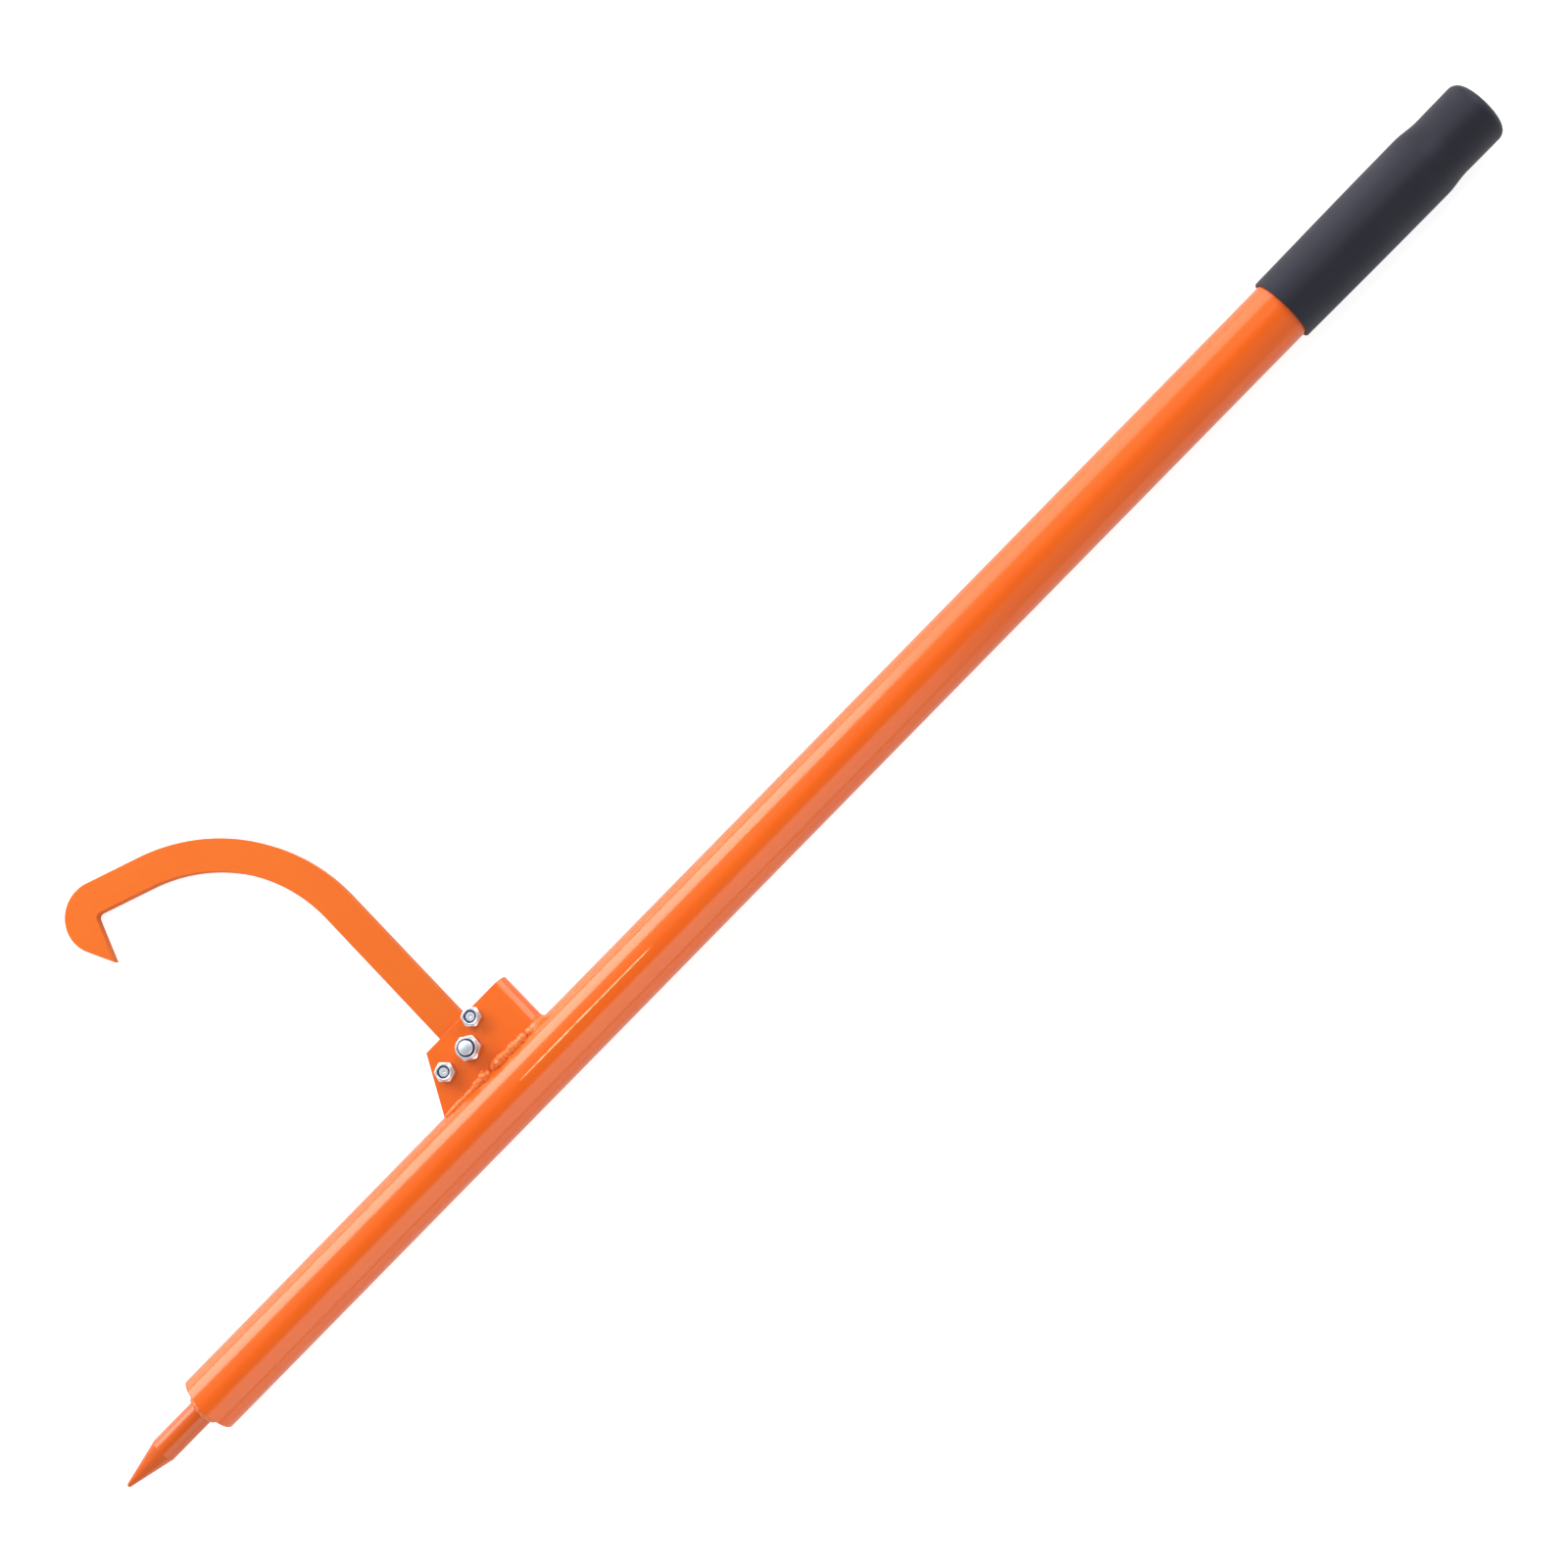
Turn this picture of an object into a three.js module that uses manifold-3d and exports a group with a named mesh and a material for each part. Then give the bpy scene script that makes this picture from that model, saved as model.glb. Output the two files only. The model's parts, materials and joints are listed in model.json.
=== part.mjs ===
// A peavey: a spiked steel handle with a swinging hook, for rolling and levering logs.
// Millimetres. In the tool's own frame X runs along the handle from the spike's tip to
// the butt, Y points to the hook's side and Z is square to the hook's plate. At the end
// the tool is laid on its side on the ground, Z up.

import * as THREE from 'three';
import { mergeVertices } from 'three/addons/utils/BufferGeometryUtils.js';
import Module from 'manifold-3d';

const wasm = await Module();
wasm.setup();

// Clearance between two pieces that touch, and how far a cutting solid overruns
const gap = 0.3;
const overrun = 4;

// Handle tube
const overallLength = 1250;
const tubeRadius = 21;
const tubeWall = 3;

// Spike: a pointed rod held in the tube's mouth by two discs
const spikeReach = 77;
const spikeRadius = 9;
const spikeTipRadius = 1.6;
const spikeConeLength = 34;
const spikeRootLength = 120;
const spikeRootChamfer = 1.5;
const discThickness = 8;
const frontDiscSetback = 2.5;
const rearDiscInset = 6;

// Rubber grip: its rubber's thickness over the tube at four stations along it
const gripLength = 179.5;
const gripEndWall = 6;
const gripMouthRubber = 2.4;
const gripSwellRubber = 3.3;
const gripNeckRubber = 1.7;
const gripEndRubber = 1.9;
const gripTaperLength = 126;
const gripStepLength = 18;
const gripCornerRadius = 6.5;

// Hook: a band of constant width cut from plate, with a sharp tooth turned back
const hookWidth = 22.5;
const hookThickness = 8;
const hookArmLength = 132.3;
const hookBendRadius = 120;
const hookBendSweep = THREE.MathUtils.degToRad(70);
const hookNoseReach = 40.3;
const notchRadius = 2.5;
const toothLength = 35;

// Pivot of the hook, and how far the hook swings from the upper stop to the lower one
const pivotFromTip = 365;
const pivotRise = 18.7;
const hookSwing = THREE.MathUtils.degToRad(45);
const upperStopRiseShare = 0.763;

// Bracket: a plate bent to a U whose closed back faces the grip
const plateThickness = 4;
const sideClearance = 0.5;
const bracketSlant = THREE.MathUtils.degToRad(27.6);
const bracketFrontMargin = 9.8;
const bracketTopMargin = 5.6;
const bracketBackMargin = 32;

// Weld beads along the bracket's foot
const beadRadius = 3.4;
const beadRippleShare = 0.1;
const beadRipplePitch = 4.5;
const beadStep = 1.2;

// Hex bolts with nylon-insert lock nuts. endStand is how far the bolt's end stands
// past its nut, and it is negative where the end is sunk.
const pivotFastener = {
  boltRadius: 5,
  acrossFlats: 17,
  headHeight: 6.4,
  nutHexHeight: 7.2,
  nutHeight: 10,
  collarRadius: 7.9,
  collarWall: 0.9,
  lipThickness: 0.8,
  lipClearance: 0.7,
  endStand: 1.4,
  endChamfer: 0.9,
  turn: THREE.MathUtils.degToRad(4),
};
const stopFastener = {
  boltRadius: 4,
  acrossFlats: 13,
  headHeight: 5.3,
  nutHexHeight: 5.6,
  nutHeight: 8,
  collarRadius: 6.1,
  collarWall: 0.7,
  lipThickness: 0.6,
  lipClearance: 0.6,
  endStand: -0.9,
  endChamfer: 0.7,
  turn: THREE.MathUtils.degToRad(16),
};

// Sides of a full turn
const wideSides = 40;
const narrowSides = 24;
const beadSides = 8;
const cornerSteps = 5;

// Places that follow from the sizes above
const tubeBore = tubeRadius - tubeWall;
const hookHalf = hookWidth / 2;
const slotHalf = hookThickness / 2 + sideClearance;
const bracketHalf = slotHalf + plateThickness;
const pivot = new THREE.Vector2(pivotFromTip, tubeRadius + pivotRise);
const stopOffset = hookHalf + stopFastener.boltRadius + gap;
const nutCorners = cornerRadius(pivotFastener) + cornerRadius(stopFastener);
const upperStop = new THREE.Vector2(pivot.x + stopOffset, pivot.y + upperStopRiseShare * nutCorners);
const lowerStop = new THREE.Vector2(pivot.x - stopOffset / Math.cos(hookSwing), pivot.y);
const bracketTop = upperStop.y + bracketTopMargin;
const bracketBack = upperStop.x + bracketBackMargin;
const bendCentre = bracketBack - bracketHalf;
const footHeight = Math.sqrt(tubeRadius ** 2 - bracketHalf ** 2);

// Paint, zinc, nylon and rubber
const orangePaint = { color: '#f7702c', roughness: 0.38, metalness: 0 };
const brightZinc = { color: '#cfd3d8', roughness: 0.3, metalness: 1 };
const blueNylon = { color: '#4f5f78', roughness: 0.55, metalness: 0 };
const blackRubber = { color: '#34353a', roughness: 0.75, metalness: 0 };

function cornerRadius(fastener) {
  return fastener.acrossFlats / 2 / Math.cos(Math.PI / 6);
}

// One closed body: shared corners merged, collapsed triangles dropped, faces outward
function closedBody(geometry) {
  const bare = geometry.clone();
  bare.deleteAttribute('normal');
  bare.deleteAttribute('uv');
  const merged = mergeVertices(bare);
  const corners = merged.index.array;
  const places = merged.attributes.position;
  const triangles = [];
  const [a, b, c] = [new THREE.Vector3(), new THREE.Vector3(), new THREE.Vector3()];
  let volume = 0;
  for (let i = 0; i < corners.length; i += 3) {
    const [p, q, r] = corners.slice(i, i + 3);
    if (p === q || q === r || r === p) continue;
    triangles.push([p, q, r]);
    a.fromBufferAttribute(places, p);
    b.fromBufferAttribute(places, q);
    c.fromBufferAttribute(places, r);
    volume += a.dot(b.cross(c));
  }
  const outward = volume > 0 ? triangles : triangles.map(([p, q, r]) => [p, r, q]);
  merged.setIndex(outward.flat());
  return merged;
}

function toSolid(geometry) {
  const body = closedBody(geometry);
  const vertProperties = new Float32Array(body.attributes.position.array);
  const triVerts = new Uint32Array(body.index.array);
  return new wasm.Manifold(new wasm.Mesh({ numProp: 3, vertProperties, triVerts }));
}

function toGeometry(solid) {
  const mesh = solid.getMesh();
  const geometry = new THREE.BufferGeometry();
  geometry.setAttribute('position', new THREE.BufferAttribute(mesh.vertProperties, 3));
  geometry.setIndex(new THREE.BufferAttribute(mesh.triVerts, 1));
  return geometry;
}

// A piece turned about the X axis from [station along X, radius] pairs
function turnedAlongX(stations, sides) {
  const profile = stations.map(([station, radius]) => new THREE.Vector2(radius, station));
  return new THREE.LatheGeometry(profile, sides).rotateZ(-Math.PI / 2);
}

// A piece turned about the Z axis from [height, radius] pairs
function turnedAlongZ(stations, sides) {
  const profile = stations.map(([height, radius]) => new THREE.Vector2(radius, height));
  return new THREE.LatheGeometry(profile, sides).rotateX(Math.PI / 2);
}

function ringAlongX(from, to, inner, outer, sides) {
  return turnedAlongX([[from, inner], [from, outer], [to, outer], [to, inner], [from, inner]], sides);
}

function ringAlongZ(from, to, inner, outer) {
  return turnedAlongZ([[from, inner], [from, outer], [to, outer], [to, inner], [from, inner]], narrowSides);
}

function rodAlongZ(from, to, radius) {
  return turnedAlongZ([[from, 0], [from, radius], [to, radius], [to, 0]], narrowSides);
}

// A flat shape in the tool's XY plane, thickened evenly to both sides of it
function plateInXY(shape, thickness) {
  const settings = { depth: thickness, bevelEnabled: false, curveSegments: 10 };
  return new THREE.ExtrudeGeometry(shape, settings).translate(0, 0, -thickness / 2);
}

// A flat shape in the tool's XZ plane, raised along Y between two heights
function columnFromXZ(shape, from, to) {
  const settings = { depth: to - from, bevelEnabled: false, curveSegments: 8 };
  return new THREE.ExtrudeGeometry(shape, settings).rotateX(-Math.PI / 2).translate(0, from, 0);
}

function makeHandleTube() {
  const tubeEnd = overallLength - gripEndWall - gap;
  return ringAlongX(spikeReach, tubeEnd, tubeBore, tubeRadius, wideSides);
}

function makeSpike() {
  const rootEnd = spikeReach + spikeRootLength;
  const tip = [];
  for (let i = 0; i <= cornerSteps; i += 1) {
    const angle = (Math.PI / 2) * (i / cornerSteps);
    tip.push([spikeTipRadius * (1 - Math.cos(angle)), spikeTipRadius * Math.sin(angle)]);
  }
  const stations = [
    ...tip,
    [spikeConeLength, spikeRadius],
    [rootEnd - spikeRootChamfer, spikeRadius],
    [rootEnd, spikeRadius - spikeRootChamfer],
    [rootEnd, 0],
  ];
  return turnedAlongX(stations, wideSides);
}

function makeSpikeDisc(from) {
  return ringAlongX(from, from + discThickness, spikeRadius + gap, tubeBore - gap, wideSides);
}

// The two ring welds share the space between the spike and the tube's bore
function makeSpikeWeld() {
  const face = spikeReach + frontDiscSetback - gap;
  const inner = spikeRadius + gap;
  const leg = (tubeBore - spikeRadius - 3 * gap) / 2;
  const stations = [
    [face, inner],
    [face, inner + leg],
    [face - leg / 3, inner + (leg * 3) / 4],
    [face - (leg * 3) / 4, inner + leg / 3],
    [face - leg, inner],
    [face, inner],
  ];
  return turnedAlongX(stations, wideSides);
}

function makeMouthWeld() {
  const face = spikeReach + frontDiscSetback - gap;
  const leg = (tubeBore - spikeRadius - 3 * gap) / 2;
  const outer = tubeBore - gap;
  const crown = face - frontDiscSetback;
  const stations = [
    [face, outer - leg],
    [face, outer],
    [crown, outer],
    [crown - leg / 5, outer - leg / 4],
    [crown, outer - (leg * 3) / 5],
    [face, outer - leg],
  ];
  return turnedAlongX(stations, wideSides);
}

function makeGrip() {
  const mouth = overallLength - gripLength;
  const stations = [
    [overallLength - gripEndWall, 0],
    [overallLength - gripEndWall, tubeRadius + gap],
    [mouth, tubeRadius + gap],
    [mouth, tubeRadius + gripMouthRubber],
  ];
  const taperSteps = 5;
  for (let i = 1; i <= taperSteps; i += 1) {
    const along = i / taperSteps;
    const swell = Math.sin((along * Math.PI) / 2);
    const rubber = THREE.MathUtils.lerp(gripMouthRubber, gripSwellRubber, swell);
    stations.push([mouth + gripTaperLength * along, tubeRadius + rubber]);
  }
  const stepSteps = 6;
  for (let i = 1; i <= stepSteps; i += 1) {
    const along = i / stepSteps;
    const fall = (1 - Math.cos(along * Math.PI)) / 2;
    const rubber = THREE.MathUtils.lerp(gripSwellRubber, gripNeckRubber, fall);
    stations.push([mouth + gripTaperLength + gripStepLength * along, tubeRadius + rubber]);
  }
  const endRadius = tubeRadius + gripEndRubber;
  for (let i = 0; i <= cornerSteps; i += 1) {
    const angle = (Math.PI / 2) * (i / cornerSteps);
    const station = overallLength - gripCornerRadius * (1 - Math.sin(angle));
    stations.push([station, endRadius - gripCornerRadius * (1 - Math.cos(angle))]);
  }
  stations.push([overallLength, 0]);
  return turnedAlongX(stations, wideSides);
}

// The hook's outline, from the round foot at the pivot up the arm, round the bend, over
// the nose to the tooth's tip, and back along the inner edge
function hookOutline() {
  const centre = new THREE.Vector2(pivot.x - hookBendRadius, pivot.y + hookArmLength);
  const ahead = new THREE.Vector2(-Math.sin(hookBendSweep), Math.cos(hookBendSweep));
  const outward = new THREE.Vector2(Math.cos(hookBendSweep), Math.sin(hookBendSweep));
  const nose = centre.clone()
    .addScaledVector(outward, hookBendRadius - hookHalf - notchRadius)
    .addScaledVector(ahead, hookNoseReach);
  const noseRadius = hookWidth + notchRadius;
  const tip = nose.clone()
    .addScaledVector(ahead, notchRadius)
    .addScaledVector(outward, notchRadius - toothLength);
  const toTip = tip.clone().sub(nose);
  const tangentTurn = Math.acos(noseRadius / toTip.length());
  const noseEnd = toTip.angle() - tangentTurn;
  const shape = new THREE.Shape();
  shape.absarc(pivot.x, pivot.y, hookHalf, Math.PI, 2 * Math.PI, false);
  shape.absarc(centre.x, centre.y, hookBendRadius + hookHalf, 0, hookBendSweep, false);
  shape.absarc(nose.x, nose.y, noseRadius, hookBendSweep, noseEnd, false);
  shape.lineTo(tip.x, tip.y);
  const notchStart = Math.PI / 2 + hookBendSweep;
  shape.absarc(nose.x, nose.y, notchRadius, notchStart, hookBendSweep, true);
  shape.absarc(centre.x, centre.y, hookBendRadius - hookHalf, hookBendSweep, 0, true);
  shape.closePath();
  return shape;
}

function makeHook() {
  const plate = toSolid(plateInXY(hookOutline(), hookThickness));
  const bore = rodAlongZ(-hookThickness, hookThickness, pivotFastener.boltRadius + gap);
  return toGeometry(plate.subtract(toSolid(bore.translate(pivot.x, pivot.y, 0))));
}

// The bracket seen from above: a U whose round back lies towards the grip
function bracketPlan(half, from) {
  const shape = new THREE.Shape();
  shape.moveTo(from, -half);
  shape.lineTo(bendCentre, -half);
  shape.absarc(bendCentre, 0, half, -Math.PI / 2, Math.PI / 2, false);
  shape.lineTo(from, half);
  shape.closePath();
  return shape;
}

// The bracket seen from the side: its front edge slants back from the foot to the top
function bracketSide() {
  const lean = new THREE.Vector2(Math.sin(bracketSlant), Math.cos(bracketSlant));
  const edge = lowerStop.x - bracketFrontMargin / lean.y;
  const frontAt = (height) => edge + (height - lowerStop.y) * (lean.x / lean.y);
  const shape = new THREE.Shape();
  shape.moveTo(frontAt(0), 0);
  shape.lineTo(bracketBack + overrun, 0);
  shape.lineTo(bracketBack + overrun, bracketTop);
  shape.lineTo(frontAt(bracketTop), bracketTop);
  shape.closePath();
  return { shape, foot: frontAt(footHeight), start: frontAt(0) - overrun };
}

function tubeCutter(clearance) {
  const radius = tubeRadius + clearance;
  const stations = [[0, 0], [0, radius], [overallLength, radius], [overallLength, 0]];
  return toSolid(turnedAlongX(stations, wideSides));
}

function makeBracket() {
  const side = bracketSide();
  const outer = toSolid(columnFromXZ(bracketPlan(bracketHalf, side.start), 0, bracketTop));
  const slot = bracketPlan(slotHalf, side.start - overrun);
  const inner = toSolid(columnFromXZ(slot, -overrun, bracketTop + overrun));
  const profile = toSolid(plateInXY(side.shape, 2 * bracketHalf + overrun));
  let bracket = outer.subtract(inner).intersect(profile).subtract(tubeCutter(gap));
  const holes = [
    [pivot, pivotFastener],
    [upperStop, stopFastener],
    [lowerStop, stopFastener],
  ];
  for (const [place, fastener] of holes) {
    const reach = bracketHalf + overrun;
    const hole = rodAlongZ(-reach, reach, fastener.boltRadius + gap);
    bracket = bracket.subtract(toSolid(hole.translate(place.x, place.y, 0)));
  }
  return toGeometry(bracket);
}

// A solid skin through rings of points, closed by a cap at each end
function loft(rings) {
  const count = rings[0].length;
  const places = rings.flat().flatMap((point) => point.toArray());
  const corners = [];
  for (let i = 0; i + 1 < rings.length; i += 1) {
    for (let j = 0; j < count; j += 1) {
      const [near, next] = [i * count + j, i * count + ((j + 1) % count)];
      corners.push(near, next, next + count, near, next + count, near + count);
    }
  }
  const last = (rings.length - 1) * count;
  for (let j = 1; j + 1 < count; j += 1) {
    corners.push(0, j + 1, j);
    corners.push(last, last + j, last + j + 1);
  }
  const geometry = new THREE.BufferGeometry();
  geometry.setAttribute('position', new THREE.Float32BufferAttribute(places, 3));
  geometry.setIndex(corners);
  return geometry;
}

// A rippled round bead laid along a path of {place, outward} and cut back to the corner
// between the bracket and the tube
function makeBead(pathAt, length) {
  const steps = Math.round(length / beadStep);
  const rings = [];
  for (let i = 0; i <= steps; i += 1) {
    const along = (i / steps) * length;
    const { place, outward } = pathAt(along);
    const wave = Math.sin((2 * Math.PI * along) / beadRipplePitch);
    const radius = beadRadius * (1 + beadRippleShare * wave);
    const ring = [];
    for (let j = 0; j < beadSides; j += 1) {
      const angle = (2 * Math.PI * j) / beadSides;
      const point = place.clone().addScaledVector(outward, radius * Math.cos(angle));
      point.y += radius * Math.sin(angle);
      ring.push(point);
    }
    rings.push(ring);
  }
  const keepOff = bracketPlan(bracketHalf + gap, bracketSide().start - overrun);
  const column = toSolid(columnFromXZ(keepOff, 0, bracketTop));
  return toGeometry(toSolid(loft(rings)).subtract(column).subtract(tubeCutter(gap)));
}

// The straight bead along one cheek's foot, on the side of Z that is given
function makeCheekWeld(side) {
  const start = bracketSide().foot + beadStep;
  const outward = new THREE.Vector3(0, 0, side);
  const pathAt = (along) => ({
    place: new THREE.Vector3(start + along, footHeight, side * bracketHalf),
    outward,
  });
  return makeBead(pathAt, bendCentre - start);
}

// The bead round the foot of the bracket's bend
function makeBackWeld() {
  const half = Math.PI / 2 - gap / bracketHalf;
  const pathAt = (along) => {
    const angle = along / bracketHalf - half;
    const outward = new THREE.Vector3(Math.cos(angle), 0, Math.sin(angle));
    const place = outward.clone().multiplyScalar(bracketHalf);
    place.y = Math.sqrt(tubeRadius ** 2 - place.z ** 2);
    place.x += bendCentre;
    return { place, outward };
  };
  return makeBead(pathAt, 2 * half * bracketHalf);
}

// A hexagon with its corners broken at one end or both, standing on Z from zero up
function hexWithBrokenCorners(fastener, height, breakFoot) {
  const corner = cornerRadius(fastener);
  const flat = fastener.acrossFlats / 2;
  const drop = (corner - flat) * Math.tan(Math.PI / 6);
  const prism = new THREE.CylinderGeometry(corner, corner, height, 6);
  prism.rotateX(Math.PI / 2).translate(0, 0, height / 2);
  const foot = breakFoot ? [[0, 0], [0, flat], [drop, corner]] : [[-overrun, 0], [-overrun, corner]];
  const stations = [...foot, [height - drop, corner], [height, flat], [height, 0]];
  return toSolid(prism).intersect(toSolid(turnedAlongZ(stations, narrowSides)));
}

function makeBolt(fastener) {
  const underHead = bracketHalf + gap;
  const head = hexWithBrokenCorners(fastener, fastener.headHeight, false);
  const end = underHead + fastener.nutHeight + fastener.endStand;
  const radius = fastener.boltRadius;
  const chamfer = fastener.endChamfer;
  const shank = [
    [-underHead - fastener.headHeight / 2, 0],
    [-underHead - fastener.headHeight / 2, radius],
    [end - chamfer, radius],
    [end - chamfer / 4, radius - chamfer],
    [end, radius / 3],
    [end, 0],
  ];
  const lowered = head.rotate([180, 0, 0]).translate([0, 0, -underHead]);
  return toGeometry(lowered.add(toSolid(turnedAlongZ(shank, narrowSides))));
}

function makeNut(fastener) {
  const { boltRadius, collarRadius, collarWall, nutHexHeight, nutHeight, lipThickness } = fastener;
  const hex = hexWithBrokenCorners(fastener, nutHexHeight, true);
  const collar = turnedAlongZ([
    [nutHexHeight / 2, 0],
    [nutHexHeight / 2, collarRadius],
    [nutHeight - collarWall, collarRadius],
    [nutHeight - collarWall / 4, collarRadius - collarWall / 3],
    [nutHeight, collarRadius - collarWall],
    [nutHeight, 0],
  ], narrowSides);
  const lipRadius = boltRadius + fastener.lipClearance;
  const bore = turnedAlongZ([
    [-overrun, 0],
    [-overrun, boltRadius + gap],
    [nutHexHeight, boltRadius + gap],
    [nutHexHeight, collarRadius - collarWall],
    [nutHeight - lipThickness, collarRadius - collarWall],
    [nutHeight - lipThickness, lipRadius],
    [nutHeight + overrun, lipRadius],
    [nutHeight + overrun, 0],
  ], narrowSides);
  const nut = hex.add(toSolid(collar)).subtract(toSolid(bore));
  return toGeometry(nut.translate([0, 0, bracketHalf + gap]));
}

function makeNutInsert(fastener) {
  const seat = bracketHalf + gap;
  const foot = seat + fastener.nutHexHeight + gap;
  const top = seat + fastener.nutHeight - fastener.lipThickness - gap;
  const outer = fastener.collarRadius - fastener.collarWall - gap;
  return ringAlongZ(foot, top, fastener.boltRadius + gap, outer);
}

function addPiece(group, name, geometry, finish) {
  const body = closedBody(geometry);
  body.computeVertexNormals();
  const piece = new THREE.Mesh(body, new THREE.MeshStandardMaterial(finish));
  piece.name = name;
  group.add(piece);
  return piece;
}

function addHandle(tool) {
  const frontDisc = spikeReach + frontDiscSetback;
  const rearDisc = spikeReach + spikeRootLength - rearDiscInset - discThickness;
  addPiece(tool, 'handle_tube', makeHandleTube(), orangePaint);
  addPiece(tool, 'spike', makeSpike(), orangePaint);
  addPiece(tool, 'spike_front_disc', makeSpikeDisc(frontDisc), orangePaint);
  addPiece(tool, 'spike_rear_disc', makeSpikeDisc(rearDisc), orangePaint);
  addPiece(tool, 'spike_weld', makeSpikeWeld(), orangePaint);
  addPiece(tool, 'tube_mouth_weld', makeMouthWeld(), orangePaint);
  addPiece(tool, 'grip', makeGrip(), blackRubber);
}

function addBracket(tool) {
  addPiece(tool, 'bracket', makeBracket(), orangePaint);
  addPiece(tool, 'bracket_weld_front', makeCheekWeld(1), orangePaint);
  addPiece(tool, 'bracket_weld_rear', makeCheekWeld(-1), orangePaint);
  addPiece(tool, 'bracket_weld_back', makeBackWeld(), orangePaint);
}

function addFastener(tool, name, place, fastener) {
  const set = new THREE.Group();
  addPiece(set, `${name}_bolt`, makeBolt(fastener), brightZinc);
  addPiece(set, `${name}_nut`, makeNut(fastener), brightZinc);
  addPiece(set, `${name}_nut_insert`, makeNutInsert(fastener), blueNylon);
  set.position.set(place.x, place.y, 0);
  set.rotation.z = fastener.turn;
  tool.add(set);
}

// The tool lies on the swell of its grip, the mouth of its tube and the hook's far edge:
// it pitches until both rounds touch the ground, then rolls until the hook does
function restAngles() {
  const grip = tubeRadius + gripSwellRubber;
  const span = overallLength - gripLength + gripTaperLength - spikeReach;
  const pitch = Math.atan((grip - tubeRadius) / span);
  const rolls = hookOutline().getPoints().map(({ x, y }) => {
    const height = tubeRadius + Math.tan(pitch) * (x - spikeReach);
    const reach = Math.hypot(y, hookThickness / 2);
    if (reach <= height) return Math.PI / 2;
    return Math.asin(height / reach) - Math.atan2(hookThickness / 2, y);
  });
  return { pitch, roll: Math.min(...rolls) };
}

function layDown(tool) {
  const { pitch, roll } = restAngles();
  const pitched = new THREE.Group();
  tool.rotation.x = -roll;
  pitched.rotation.y = -pitch;
  pitched.add(tool);
  const whole = new THREE.Group();
  whole.add(pitched);
  whole.updateMatrixWorld(true);
  const box = new THREE.Box3().setFromObject(whole, true);
  const centre = box.getCenter(new THREE.Vector3());
  pitched.position.set(-centre.x, -centre.y, -box.min.z);
  whole.updateMatrixWorld(true);
  return whole;
}

const tool = new THREE.Group();
addHandle(tool);
addBracket(tool);
addPiece(tool, 'hook', makeHook(), orangePaint);
addFastener(tool, 'pivot', pivot, pivotFastener);
addFastener(tool, 'upper_stop', upperStop, stopFastener);
addFastener(tool, 'lower_stop', lowerStop, stopFastener);

export default layDown(tool);
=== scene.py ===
import json
import math

import bmesh
import bpy
from mathutils import Matrix, Vector


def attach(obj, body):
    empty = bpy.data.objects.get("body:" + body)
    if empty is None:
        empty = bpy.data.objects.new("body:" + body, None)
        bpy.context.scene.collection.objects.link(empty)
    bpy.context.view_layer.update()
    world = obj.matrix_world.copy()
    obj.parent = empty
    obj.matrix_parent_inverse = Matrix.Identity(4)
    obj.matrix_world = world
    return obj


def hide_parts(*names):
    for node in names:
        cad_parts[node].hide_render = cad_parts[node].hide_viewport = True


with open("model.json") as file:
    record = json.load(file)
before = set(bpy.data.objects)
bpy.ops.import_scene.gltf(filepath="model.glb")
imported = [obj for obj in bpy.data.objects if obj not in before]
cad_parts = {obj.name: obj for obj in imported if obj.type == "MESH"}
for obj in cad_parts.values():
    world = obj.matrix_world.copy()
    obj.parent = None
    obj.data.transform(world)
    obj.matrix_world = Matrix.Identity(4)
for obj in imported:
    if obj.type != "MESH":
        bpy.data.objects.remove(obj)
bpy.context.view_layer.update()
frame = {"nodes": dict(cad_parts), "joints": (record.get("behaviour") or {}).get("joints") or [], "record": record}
print("frame loaded:", len(frame["nodes"]), "nodes")

# The tool's own frame, in which its pieces are drawn, in millimetres: X runs from the
# spike's tip to the butt, Y points to the hook's side and Z is square to the hook's plate
butt = frame["record"]["mounts"][0]
hinge = frame["joints"][0]
toolX = Vector(butt["axis"]).normalized()
toolZ = Vector(hinge["axis"])
toolZ = (toolZ - toolX * toolZ.dot(toolX)).normalized()
toolY = toolZ.cross(toolX)
buttPlace = Vector(butt["pos_m"])
tipAlong = min(v.co.dot(toolX) for v in frame["nodes"]["spike"].data.vertices)
tipPlace = buttPlace - toolX * (buttPlace.dot(toolX) - tipAlong)
mmPerMetre = 1000
toolMatrix = (
    Matrix.Translation(tipPlace)
    @ Matrix((toolX, toolY, toolZ)).transposed().to_4x4()
    @ Matrix.Scale(1 / mmPerMetre, 4)
)


def extent(node):
    # lowest and highest corners of a node in the tool's frame
    back = toolMatrix.inverted()
    points = [back @ v.co for v in frame["nodes"][node].data.vertices]
    low = Vector(min(p[i] for p in points) for i in range(3))
    high = Vector(max(p[i] for p in points) for i in range(3))
    return low, high


def middle(node):
    low, high = extent(node)
    return (low + high) / 2


tubeLow, tubeHigh = extent("handle_tube")
tubeRadius = tubeHigh.y
pivot = middle("pivot_nut_insert").xy


def addObject(name, data):
    made = bpy.data.objects.new(name, data)
    bpy.context.scene.collection.objects.link(made)
    return made


# The camera, at the photo's viewpoint
viewpoint = {
    "place": (728.804, -403.924, 1983.532),
    "aim": (630.747, 15.441, 0),
    "slopeDegrees": 45.59,  # of the handle across the picture
    "lens": 72,
    "sensor": 36,
}


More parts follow.
